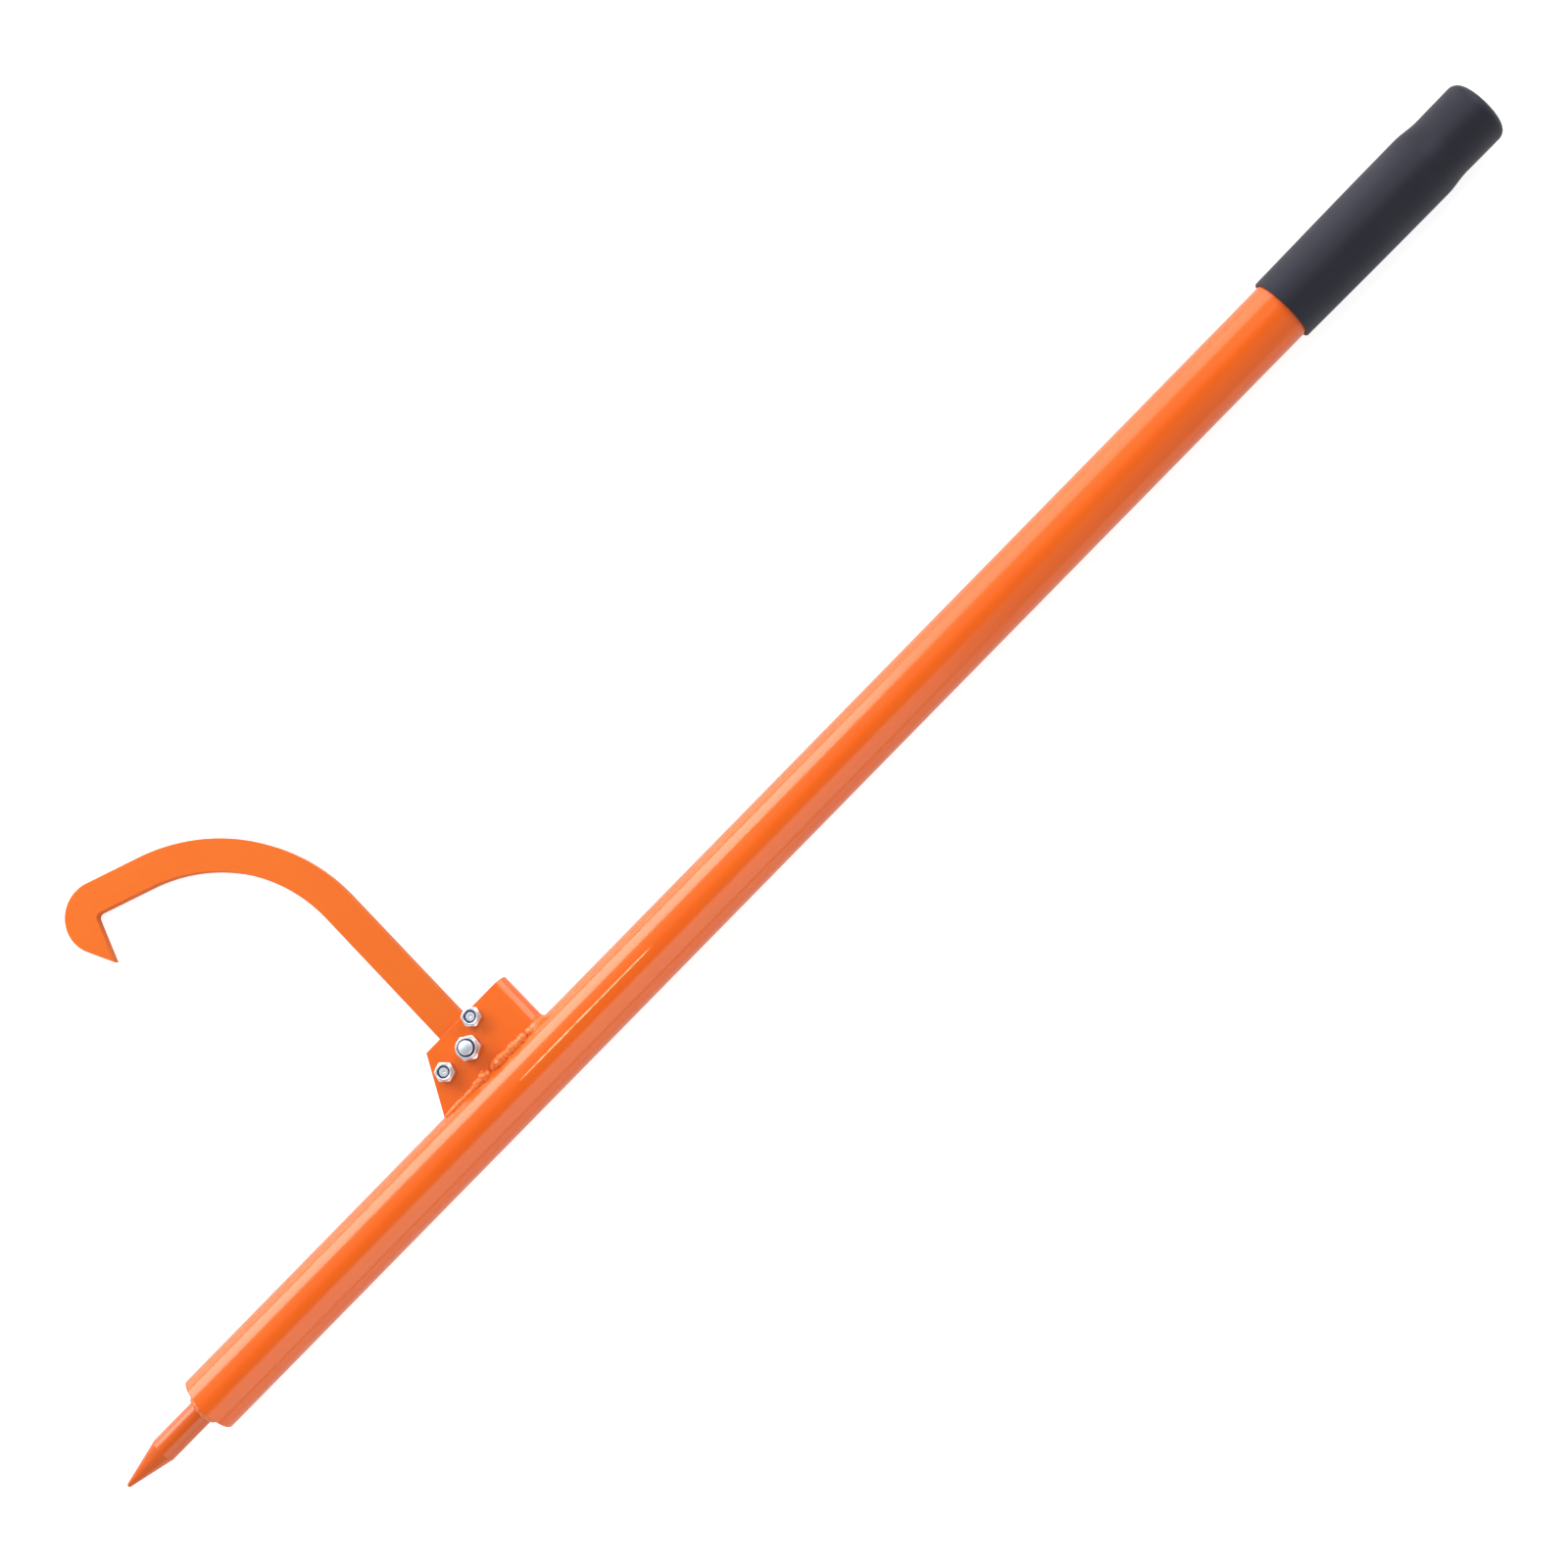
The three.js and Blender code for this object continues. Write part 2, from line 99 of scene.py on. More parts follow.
def addCamera(spec):
    place = Vector(spec["place"])
    ahead = (Vector(spec["aim"]) - place).normalized()
    level = (Vector((1, 0, 0)) - ahead * ahead.x).normalized()
    right = Matrix.Rotation(math.radians(spec["slopeDegrees"]), 3, ahead) @ level
    up = right.cross(ahead)
    turn = Matrix((right, up, -ahead)).transposed().to_4x4()
    data = bpy.data.cameras.new("camera")
    data.lens = spec["lens"]
    data.sensor_width = spec["sensor"]
    camera = addObject("camera", data)
    pose = toolMatrix @ Matrix.Translation(place) @ turn
    camera.matrix_world = Matrix.LocRotScale(pose.translation, pose.to_quaternion(), None)
    bpy.context.scene.camera = camera


addCamera(viewpoint)
bpy.context.scene.view_settings.view_transform = "Standard"
print("camera set")


# Nodes and colours

def addNode(tree, kind, inputs=None, **settings):
    node = tree.nodes.new(kind)
    for name, value in settings.items():
        setattr(node, name, value)
    for name, value in (inputs or {}).items():
        socket = node.inputs[name]
        if isinstance(value, bpy.types.NodeSocket):
            tree.links.new(value, socket)
        else:
            socket.default_value = value
    return node


def linearColour(code):
    shares = [int(code[i:i + 2], 16) / 255 for i in (1, 3, 5)]
    linear = [c / 12.92 if c <= 0.04045 else ((c + 0.055) / 1.055) ** 2.4 for c in shares]
    return (*linear, 1)


def startMaterial(name):
    material = bpy.data.materials.new(name)
    material.use_nodes = True
    material.node_tree.nodes.clear()
    return material, material.node_tree


# Materials: each has soft patches between two colours and two roughnesses, and a relief
# in layers of [size in mm, height in mm, detail of the noise]
patchSpread = {"From Min": 0.3, "From Max": 0.7}  # most of the noise lies between these


def makeFinish(name, kind, **changes):
    spec = {**kind, **changes}
    smooth, rough = spec["roughness"]
    material, tree = startMaterial(name)
    place = addNode(tree, "ShaderNodeTexCoord").outputs["Object"]
    patches = addNode(tree, "ShaderNodeTexNoise", {
        "Vector": place,
        "Scale": mmPerMetre / spec["patchMm"],
        "Detail": spec["patchDetail"],
    }).outputs["Fac"]
    share = addNode(tree, "ShaderNodeMapRange", {"Value": patches, **patchSpread})
    colour = addNode(tree, "ShaderNodeMix", {
        "Factor": share.outputs["Result"],
        6: linearColour(spec["light"]),
        7: linearColour(spec["dark"]),
    }, data_type="RGBA").outputs[2]
    roughness = addNode(tree, "ShaderNodeMapRange", {
        "Value": patches, **patchSpread, "To Min": smooth, "To Max": rough}).outputs["Result"]
    if "cutRoughness" in spec:
        cutEdge = addNode(tree, "ShaderNodeAttribute", attribute_name="cutEdge")
        roughness = addNode(tree, "ShaderNodeMix", {
            "Factor": cutEdge.outputs["Fac"], 2: roughness, 3: spec["cutRoughness"]}).outputs[0]
    below = {}
    for sizeMm, heightMm, detail in spec["relief"]:
        noise = addNode(tree, "ShaderNodeTexNoise", {
            "Vector": place, "Scale": mmPerMetre / sizeMm, "Detail": detail})
        bump = addNode(tree, "ShaderNodeBump", {
            "Height": noise.outputs["Fac"], "Distance": heightMm / mmPerMetre, **below})
        below = {"Normal": bump.outputs["Normal"]}
    surface = addNode(tree, "ShaderNodeBsdfPrincipled", {
        "Base Color": colour, "Roughness": roughness, **below, **spec["shader"]})
    addNode(tree, "ShaderNodeOutputMaterial", {"Surface": surface.outputs["BSDF"]})
    return material


# Powder coat on steel: polyester powder baked to a thick, even and glossy skin, with a
# faint orange peel where it levelled
orangePeel = (2.6, 0.01, 1)
powderCoat = {
    "patchMm": 70,
    "patchDetail": 2,
    "roughness": (0.16, 0.2),
    "relief": [orangePeel],
    "shader": {"IOR": 1.6, "Specular Tint": linearColour("#FFFFEE")},
}
weldRelief = [orangePeel, (1.3, 0.16, 3)]

# the whole tool wears one orange coat; each part's copy of it is toned a little lighter or darker to make up for
# how much light falls on that part, which is painted light and shade, and the hook's copy is darker because it is
# lit more
tubePaintTonedToLight = makeFinish(
    "orange powder coat on tube", powderCoat, light="#F8680F", dark="#F5630C")
spikePaintTonedToLight = makeFinish(
    "orange powder coat on spike", powderCoat, light="#E46010", dark="#DF5B0D")
bracketPaintTonedToLight = makeFinish(
    "orange powder coat on bracket", powderCoat, light="#F26A10", dark="#EF660C")
# over a flame-cut edge the coat stays rough
hookPaintTonedToLight = makeFinish(
    "orange powder coat on hook", powderCoat, light="#E96C12", dark="#E6670E",
    cutRoughness=0.65)
# a weld glints all over from lumps too fine to show, so its colour is paler here: a painted highlight
weldPaintPaledForGlint = makeFinish(
    "orange powder coat on weld", powderCoat, light="#F98642", dark="#F2762C",
    relief=weldRelief)
# the seam's pale cream, broken into small patches, is a painted highlight: the glint along the rib
seamGlintPaint = makeFinish(
    "thin orange powder coat on seam", powderCoat, light="#FFC893", dark="#FC8B42",
    patchMm=5)

# Bright zinc plate: electroplated on cold-forged steel, silvery with a faint blue cast,
# a fine grain and small patches of duller passivation
zincPlate = {
    "light": "#F6F7F9",
    "dark": "#DDE1E8",
    "patchMm": 3.2,
    "patchDetail": 3,
    "roughness": (0.28, 0.4),
    "relief": [(0.5, 0.006, 2)],
    "shader": {"Metallic": 1},
}
nutPlating = makeFinish("bright zinc plate on nuts", zincPlate)
# the bolts' cut ends are duller and bluer than the nuts
boltPlating = makeFinish(
    "dull zinc plate on bolts", zincPlate, light="#F1F5FC", dark="#D6DFEC",
    roughness=(0.42, 0.52))

# Nylon of the lock nuts' rings: moulded polyamide, dyed, with a soft half-matt surface
nylonRing = makeFinish("blue moulded nylon", {
    "light": "#28406C",
    "dark": "#1B2C4E",
    "patchMm": 2,
    "patchDetail": 2,
    "roughness": (0.4, 0.5),
    "relief": [(0.4, 0.01, 2)],
    "shader": {"IOR": 1.53},
})

# Rubber of the grip: vulcanised in a smooth mould, so it is matt, a little bluish where
# the light grazes it, and has a fine even grain
gripRubber = makeFinish("black moulded rubber", {
    "light": "#1E1E22",
    "dark": "#19191D",
    "patchMm": 40,
    "patchDetail": 2,
    "roughness": (0.5, 0.56),
    "relief": [(0.7, 0.02, 2)],
    "shader": {"IOR": 1.52, "Specular Tint": linearColour("#DCDCFF")},
})

# Hot-rolled steel of the plates inside the tube's mouth, under a mist of primer
primer = makeFinish("primed hot-rolled steel", {
    "light": "#8C8A86",
    "dark": "#716F6B",
    "patchMm": 6,
    "patchDetail": 2,
    "roughness": (0.5, 0.65),
    "relief": [(0.6, 0.02, 2)],
    "shader": {"Metallic": 0.4},
})
print("materials made")


# Making and handing over pieces
mergeDistance = 0.0005  # mm
softDegrees = 35  # edges that turn by less look smooth


def bake(source, name):
    # the evaluated shape as a plain mesh of its own
    bpy.context.view_layer.update()
    evaluated = source.evaluated_get(bpy.context.evaluated_depsgraph_get())
    mesh = bpy.data.meshes.new_from_object(evaluated)
    bpy.data.objects.remove(source)
    return addObject(name, mesh)


def mergePoints(mesh):
    form = bmesh.new()
    form.from_mesh(mesh)
    bmesh.ops.remove_doubles(form, verts=form.verts, dist=mergeDistance)
    bmesh.ops.recalc_face_normals(form, faces=form.faces)
    form.to_mesh(mesh)
    form.free()


def settle(piece, nodes, material=None, body="handle", smoothDegrees=softDegrees):
    # nodes are those that the piece stands for; without any it is an addition
    mesh = piece.data
    mergePoints(mesh)
    if material:
        mesh.materials.clear()
        mesh.materials.append(material)
    mesh.shade_smooth()
    mesh.set_sharp_from_angle(angle=math.radians(smoothDegrees))
    level = piece.modifiers.new("level", "WEIGHTED_NORMAL")
    level.keep_sharp = True
    finished = bake(piece, (nodes[0] if nodes else piece.name) + "_finish")
    finished.data.transform(toolMatrix)
    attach(finished, body)
    if nodes:
        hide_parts(*nodes)


def addPath(points, closed=False):
    ends = [(i, i + 1) for i in range(len(points) - 1)]
    if closed:
        ends.append((len(points) - 1, 0))
    mesh = bpy.data.meshes.new("path")
    mesh.from_pydata(points, ends, [])
    return addObject("path", mesh)


def startTree(name, inputs):
    tree = bpy.data.node_groups.new(name, "GeometryNodeTree")
    for label, kind in inputs.items():
        tree.interface.new_socket(label, in_out="INPUT", socket_type="NodeSocket" + kind)
    tree.interface.new_socket("Geometry", in_out="OUTPUT", socket_type="NodeSocketGeometry")
    return tree, addNode(tree, "NodeGroupInput").outputs


def endTree(tree, geometry, material):
    whole = addNode(tree, "GeometryNodeRealizeInstances", {0: geometry})
    finished = addNode(tree, "GeometryNodeSetMaterial", {
        0: whole.outputs[0], "Material": material})
    addNode(tree, "NodeGroupOutput", {0: finished.outputs[0]})


def growPiece(tree, name, values):
    # runs a tree by itself and keeps the plain mesh that it makes
    host = addObject(name, bpy.data.meshes.new(name))
    grower = host.modifiers.new(tree.name, "NODES")
    grower.node_group = tree
    for item in tree.interface.items_tree:
        if item.in_out == "INPUT":
            grower[item.identifier] = values[item.name]
    return bake(host, name)


# Turned pieces: a profile swept once round its axis
unitRadius = 1  # of the circle that carries the profile


def makeTurningTree():
    tree, given = startTree("turning", {
        "Profile": "Object", "Sides": "Int", "Material": "Material"})
    shape = addNode(tree, "GeometryNodeObjectInfo", {"Object": given["Profile"]})
    profile = addNode(tree, "GeometryNodeMeshToCurve", {0: shape.outputs["Geometry"]})
    circle = addNode(tree, "GeometryNodeCurvePrimitiveCircle", {
        "Resolution": given["Sides"], "Radius": unitRadius})
    swept = addNode(tree, "GeometryNodeCurveToMesh", {
        "Curve": circle.outputs["Curve"], "Profile Curve": profile.outputs[0]})
    endTree(tree, swept.outputs[0], given["Material"])
    return tree


turning = makeTurningTree()
layAlongX = Matrix(((0, 0, 1, 0), (1, 0, 0, 0), (0, 1, 0, 0), (0, 0, 0, 1)))


def turnPiece(name, stations, sides, material, alongX=True):
    # stations are [place along the axis, radius]; one that starts off the axis is closed
    closed = stations[0][1] > 0
    path = addPath([(radius - unitRadius, -along, 0) for along, radius in stations], closed)
    piece = growPiece(turning, name, {"Profile": path, "Sides": sides, "Material": material})
    bpy.data.objects.remove(path)
    if alongX:
        piece.data.transform(layAlongX)
    return piece


def roundCorner(centre, radius, fromDegrees, toDegrees, steps):
    # points of an arc in [along, radius] terms; 0 degrees points along the axis
    points = []
    for i in range(steps + 1):
        angle = math.radians(fromDegrees + (toDegrees - fromDegrees) * i / steps)
        points.append((centre[0] + radius * math.cos(angle), centre[1] + radius * math.sin(angle)))
    return points


# Handle tube: drawn steel tube with its mouth edge rounded over by the paint
tube = {
    "wall": 3,
    "rimRadius": 0.35,
    "rimSteps": (4, 6),  # inside and outside
    "endRadius": 0.4,
    "endSteps": 3,
    "ringEvery": 30,
    "sides": 192,
}


def makeTube(spec):
    low, high = tubeLow.x, tubeHigh.x
    outer = tubeRadius
    inner = tubeRadius - spec["wall"]
    rim, end = spec["rimRadius"], spec["endRadius"]
    insideSteps, outsideSteps = spec["rimSteps"]
    stations = roundCorner((low + rim, inner + rim), rim, 270, 180, insideSteps)
    stations += roundCorner((low + rim, outer - rim), rim, 180, 90, outsideSteps)
    count = round((high - low) / spec["ringEvery"])
    for i in range(1, count):
        stations.append((low + (high - low) * i / count, outer))
    stations += roundCorner((high - end, outer - end), end, 90, 0, spec["endSteps"])
    stations += roundCorner((high - end, inner + end), end, 0, -90, spec["endSteps"])
    piece = turnPiece("tube", stations, spec["sides"], tubePaintTonedToLight)
    settle(piece, ["handle_tube"])


# Spike: round bar with a ground cone and a blunt tip
spike = {
    "coneLength": 34,
    "tipRadius": 1.6,
    "tipSteps": 6,
    "shoulderRadius": 0.8,
    "shoulderSteps": 5,
    "rootChamfer": 1.5,
    "sides": 128,
}


def makeSpike(spec):
    low, high = extent("spike")
    radius = high.y
    tip, ease = spec["tipRadius"], spec["shoulderRadius"]
    slope = math.atan2(radius - tip, spec["coneLength"])
    leaving = 90 + math.degrees(slope)  # where the tip's arc runs on into the cone
    stations = [(low.x, 0)]
    stations += roundCorner((low.x + tip, 0), tip, 180, leaving, spec["tipSteps"])[1:]
    # the shoulder, where the cone meets the bar, is eased by the paint
    centre = (low.x + spec["coneLength"] + ease * math.tan(slope / 2), radius - ease)
    stations += roundCorner(centre, ease, leaving, 90, spec["shoulderSteps"])
    chamfer = spec["rootChamfer"]
    stations += [(high.x - chamfer, radius), (high.x, radius - chamfer), (high.x, 0)]
    piece = turnPiece("spike", stations, spec["sides"], spikePaintTonedToLight)
    settle(piece, ["spike"])


# Rubber grip: a closed sleeve with a long swell, a step down and a rounded end
grip = {
    "mouthRubber": 2.4,
    "neckRubber": 1.7,
    "endRubber": 1.9,
    "taperLength": 126,
    "stepLength": 18,
    "cornerRadius": 6.5,
    "cornerSteps": 12,
    "lipRadius": 0.5,
    "lipSteps": (3, 4),  # inside and outside
    "lipClearance": 0.3,
    "endWall": 6,
    "taperSteps": 24,
    "stepSteps": 16,
    "sides": 160,
}


def makeGrip(spec):
    low, high = extent("grip")
    swell = high.y
    mouth = tubeRadius + spec["mouthRubber"]
    neck = tubeRadius + spec["neckRubber"]
    end = tubeRadius + spec["endRubber"]
    bore = tubeRadius + spec["lipClearance"]
    lip, corner = spec["lipRadius"], spec["cornerRadius"]
    insideSteps, outsideSteps = spec["lipSteps"]
    stations = [(high.x - spec["endWall"], 0), (high.x - spec["endWall"], bore)]
    stations += roundCorner((low.x + lip, bore + lip), lip, 270, 180, insideSteps)
    stations += roundCorner((low.x + lip, mouth - lip), lip, 180, 90, outsideSteps)
    for i in range(1, spec["taperSteps"] + 1):
        share = i / spec["taperSteps"]
        along = low.x + spec["taperLength"] * share
        stations.append((along, mouth + (swell - mouth) * math.sin(share * math.pi / 2)))
    for i in range(1, spec["stepSteps"] + 1):
        share = i / spec["stepSteps"]
        along = low.x + spec["taperLength"] + spec["stepLength"] * share
        stations.append((along, swell + (neck - swell) * (1 - math.cos(share * math.pi)) / 2))
    stations += roundCorner((high.x - corner, end - corner), corner, 90, 0, spec["cornerSteps"])
    stations.append((high.x, 0))
    piece = turnPiece("grip", stations, spec["sides"], gripRubber)
    settle(piece, ["grip"])


makeTube(tube)
makeSpike(spike)
makeGrip(grip)
print("handle, spike and grip made")


# Plates cut from flat steel: an outline with its holes, thickened, edges broken
edgeRings = 2  # of the broken edge


def cutPlate(name, outlines, thickness, edge):
    data = bpy.data.curves.new(name, "CURVE")
    data.dimensions = "2D"
    data.fill_mode = "BOTH"
    for outline in outlines:
        spline = data.splines.new("POLY")
        spline.points.add(len(outline) - 1)
        for point, (x, y) in zip(spline.points, outline):
            point.co = (x, y, 0, 1)
        spline.use_cyclic_u = True
    data.extrude = thickness / 2 - edge
    data.bevel_depth = edge
    data.bevel_resolution = edgeRings
    data.offset = -edge
    return bake(addObject(name, data), name)


def arc(centre, radius, start, end, steps):
    points = []
    for i in range(steps + 1):
        angle = start + (end - start) * i / steps
        points.append(centre + radius * Vector((math.cos(angle), math.sin(angle))))
    return points


# Hook: a band of constant width, straight, bent and straight again, then the nose and
# a sharp tooth turned back
hook = {
    "width": 22.5,
    "armLength": 132.3,
    "bendRadius": 120,
    "bendSweep": math.radians(70),
    "noseReach": 40.3,
    "noseRadius": 25,
    "notchRadius": 3.5,
    "toothLength": 35,
    "edge": 0.45,
    "boreRadius": 5.3,
    "eyeSteps": 32,
    "bendSteps": 72,
    "noseSteps": 40,
    "notchSteps": 12,
    "boreSteps": 40,
}


def makeHook(spec):
    low, high = extent("hook")
    half = spec["width"] / 2
    bendRadius, noseRadius, notch = spec["bendRadius"], spec["noseRadius"], spec["notchRadius"]
    sweep = spec["bendSweep"]
    centre = pivot + Vector((-bendRadius, spec["armLength"]))
    ahead = Vector((-math.sin(sweep), math.cos(sweep)))
    outward = Vector((math.cos(sweep), math.sin(sweep)))
    nose = centre + outward * (bendRadius + half - noseRadius) + ahead * spec["noseReach"]
    inside = noseRadius - spec["width"]
    tip = nose + ahead * inside + outward * (inside - spec["toothLength"])
    notchCentre = nose + (outward + ahead) * (inside - notch)
    toTip = tip - nose
    tangent = math.atan2(toTip.y, toTip.x) % math.tau - math.acos(noseRadius / toTip.length)
    outline = arc(pivot, half, math.pi, math.tau, spec["eyeSteps"])
    outline += arc(centre, bendRadius + half, 0, sweep, spec["bendSteps"])
    outline += arc(nose, noseRadius, sweep, tangent, spec["noseSteps"])
    outline.append(tip)
    outline += arc(notchCentre, notch, sweep + math.pi / 2, sweep, spec["notchSteps"])
    outline += arc(centre, bendRadius - half, sweep, 0, spec["bendSteps"])
    bore = arc(pivot, spec["boreRadius"], math.tau, 0, spec["boreSteps"])[:-1]
    piece = cutPlate("hook", [outline, bore], high.z - low.z, spec["edge"])
    # how far each face is turned from the plate's own faces, for the paint
    cut = piece.data.attributes.new("cutEdge", "FLOAT", "FACE")
    cut.data.foreach_set("value", [1 - abs(face.normal.z) for face in piece.data.polygons])
    settle(piece, ["hook"], hookPaintTonedToLight, "swinging_hook")


makeHook(hook)
print("hook made")


def loftRings(name, rings, closed):
    # skin through rings of equal count; open ends are closed on their middle point
    form = bmesh.new()
    rows = [[form.verts.new(point) for point in ring] for ring in rings]
    count = len(rows[0])
    pairs = list(zip(rows, rows[1:]))
    if closed:
        pairs.append((rows[-1], rows[0]))
    for near, far in pairs:
        for j in range(count):
            k = (j + 1) % count
            form.faces.new((near[j], near[k], far[k], far[j]))
    if not closed:
        for row in (rows[0], rows[-1]):
            centre = form.verts.new(sum((v.co for v in row), Vector()) / count)
            for j in range(count):
                form.faces.new((row[j], row[(j + 1) % count], centre))
    bmesh.ops.recalc_face_normals(form, faces=form.faces)
    mesh = bpy.data.meshes.new(name)
    form.to_mesh(mesh)
    form.free()
    return addObject(name, mesh)


# Bracket: one plate bent to a U, cut to the tube's round at its foot
bracket = {
    "plate": 4,
    "slant": math.radians(27.6),
    "sink": 0.6,
    "bendSteps": 40,
    "edge": 0.35,
    "edgeSegments": 2,
    "edgeAngle": math.radians(40),  # from here on an edge is broken
    "holes": {"pivot": 5.3, "upper_stop": 4.3, "lower_stop": 4.3},
    "holeSides": 40,
}


def frontEdge(height):
    # where the bracket's slanted front edge lies at a height above the tube's axis
    low = extent("bracket")[0]
    return low.x + (height - low.y) * math.tan(bracket["slant"])


def footOf(z, sink=0):
    # how far above the tube's axis its surface lies at z, or a sink below that surface
    return math.sqrt((tubeRadius - sink) ** 2 - z * z)


def makeBracket(spec):
    high = extent("bracket")[1]
    outer = high.z
    inner = outer - spec["plate"]
    bend = high.x - outer
    top = high.y
    steps = spec["bendSteps"]
    angles = [math.pi / 2 - math.pi * i / steps for i in range(steps + 1)]

    def wall(radius, atTop):
        # the top or the foot of one face of the U, front cheek to rear cheek
        height = top if atTop else footOf(radius, spec["sink"])
        front = frontEdge(height)
        points = [Vector((front, height, radius))]
        for angle in angles:
            x, z = bend + radius * math.cos(angle), radius * math.sin(angle)
            points.append(Vector((x, top if atTop else footOf(z, spec["sink"]), z)))
        points.append(Vector((front, height, -radius)))
        return points

    edges = [wall(outer, False), wall(outer, True), wall(inner, True), wall(inner, False)]
    piece = loftRings("bracket", [list(ring) for ring in zip(*edges)], False)
    reach = outer * 2
    for name, radius in spec["holes"].items():
        centre = middle(name + "_nut_insert").xy
        circle = arc(centre, radius, 0, math.tau, spec["holeSides"])[:-1]
        ends = [[Vector((p.x, p.y, z)) for p in circle] for z in (-reach, reach)]
        drill = loftRings("drill", ends, False)
        drill.hide_render = True
        cut = piece.modifiers.new(name, "BOOLEAN")
        cut.object = drill
        cut.solver = "EXACT"
    drills = [m.object for m in piece.modifiers]
    soften = piece.modifiers.new("edges", "BEVEL")
    soften.width = spec["edge"]
    soften.segments = spec["edgeSegments"]
    soften.limit_method = "ANGLE"
    soften.angle_limit = spec["edgeAngle"]
    piece = bake(piece, "bracket")
    for drill in drills:
        bpy.data.objects.remove(drill)
    settle(piece, ["bracket"], bracketPaintTonedToLight)


makeBracket(bracket)
print("bracket made")


# Weld beads: a bead laid along a path, rippled by the torch and lumpy from its spatter
beadSizes = {
    "Radius": 3.3,
    "Step": 0.3,
    "Ripple Pitch": 3,
    "Ripple Share": 0.1,
    "Swell Length": 5,
    "Swell Share": 1.1,
    "Lump Size": 1.5,
    "Lump Height": 3,
    "End Length": 2,
}
beadSeeds = {"front": 3.0, "rear": -3.0, "spike": 11.0, "mouth": 13.0, "seam": 17.0}
beadSides = 16
beadSoftDegrees = 60
noiseMean = 0.5
rippleMean = 0.33  # of the phase squared, taken off so that ripples add no thickness
endTaper = 0.1  # a bead's ends keep the square root of this share of their thickness


def makeBeadTree():
    tree, given = startTree("weldBead", {
        "Path": "Object",
        **{label: "Float" for label in beadSizes},
        "Seed": "Float",
        "Material": "Material",
    })

    shape = addNode(tree, "GeometryNodeObjectInfo", {"Object": given["Path"]})
    line = addNode(tree, "GeometryNodeMeshToCurve", {0: shape.outputs["Geometry"]})
    fine = addNode(tree, "GeometryNodeResampleCurve", {
        0: line.outputs[0], "Length": given["Step"]}, mode="LENGTH")
    along = addNode(tree, "GeometryNodeSplineParameter").outputs["Length"]
    whole = addNode(tree, "GeometryNodeSplineLength").outputs["Length"]
    place = addNode(tree, "GeometryNodeInputPosition").outputs[0]

    # each ripple rises slowly and drops at its front, as the pool freezes
    ripples = addNode(tree, "ShaderNodeMath", {
        0: along, 1: given["Ripple Pitch"]}, operation="DIVIDE")
    phase = addNode(tree, "ShaderNodeMath", {0: ripples.outputs[0]}, operation="FRACT")
    rise = addNode(tree, "ShaderNodeMath", {
        0: phase.outputs[0], 1: phase.outputs[0], 2: -rippleMean}, operation="MULTIPLY_ADD")
    ripple = addNode(tree, "ShaderNodeMath", {
        0: rise.outputs[0], 1: given["Ripple Share"], 2: 1}, operation="MULTIPLY_ADD")

    # the bead swells and thins along its way
    swellScale = addNode(tree, "ShaderNodeMath", {
        0: 1, 1: given["Swell Length"]}, operation="DIVIDE")
    swells = addNode(tree, "ShaderNodeTexNoise", {
        "Vector": place, "W": given["Seed"], "Scale": swellScale.outputs[0],
    }, noise_dimensions="4D")
    swell = addNode(tree, "ShaderNodeMath", {
        0: swells.outputs[0], 1: noiseMean}, operation="SUBTRACT")
    swollen = addNode(tree, "ShaderNodeMath", {
        0: swell.outputs[0], 1: given["Swell Share"], 2: ripple.outputs[0],
    }, operation="MULTIPLY_ADD")
    share = addNode(tree, "GeometryNodeInputNamedAttribute", {"Name": "share"}).outputs[0]
    thickness = addNode(tree, "ShaderNodeMath", {
        0: swollen.outputs[0], 1: share}, operation="MULTIPLY")

    # and tapers to a round end both ways
    ahead = addNode(tree, "ShaderNodeMath", {0: whole, 1: along}, operation="SUBTRACT")
    toEnd = addNode(tree, "ShaderNodeMath", {0: along, 1: ahead.outputs[0]}, operation="MINIMUM")
    taper = addNode(tree, "ShaderNodeMapRange", {
        "Value": toEnd.outputs[0], "From Max": given["End Length"], "To Min": endTaper})
    fade = addNode(tree, "ShaderNodeMath", {0: taper.outputs[0], 1: 0.5}, operation="POWER")
    size = addNode(tree, "ShaderNodeMath", {
        0: thickness.outputs[0], 1: fade.outputs[0]}, operation="MULTIPLY")
    section = addNode(tree, "GeometryNodeCurvePrimitiveCircle", {
        "Resolution": beadSides, "Radius": given["Radius"]})
    skin = addNode(tree, "GeometryNodeCurveToMesh", {
        "Curve": fine.outputs[0],
        "Profile Curve": section.outputs["Curve"],
        "Scale": size.outputs[0],
        "Fill Caps": True,
    })

    # lumps push the skin in and out, most where the bead is thick
    lumpScale = addNode(tree, "ShaderNodeMath", {0: 1, 1: given["Lump Size"]}, operation="DIVIDE")
    lumps = addNode(tree, "ShaderNodeTexNoise", {
        "Vector": place, "W": given["Seed"], "Scale": lumpScale.outputs[0],
    }, noise_dimensions="4D")
    lump = addNode(tree, "ShaderNodeMath", {
        0: lumps.outputs[0], 1: noiseMean}, operation="SUBTRACT")
    height = addNode(tree, "ShaderNodeMath", {
        0: lump.outputs[0], 1: given["Lump Height"]}, operation="MULTIPLY")
    depth = addNode(tree, "ShaderNodeMath", {0: share, 1: share}, operation="MULTIPLY")
    local = addNode(tree, "ShaderNodeMath", {
        0: height.outputs[0], 1: depth.outputs[0]}, operation="MULTIPLY")
    normal = addNode(tree, "GeometryNodeInputNormal").outputs[0]
    push = addNode(tree, "ShaderNodeVectorMath", {
        0: normal, "Scale": local.outputs[0]}, operation="SCALE")
    rough = addNode(tree, "GeometryNodeSetPosition", {
        0: skin.outputs[0], "Offset": push.outputs[0]})
    endTree(tree, rough.outputs[0], given["Material"])
    return tree


weldBead = makeBeadTree()


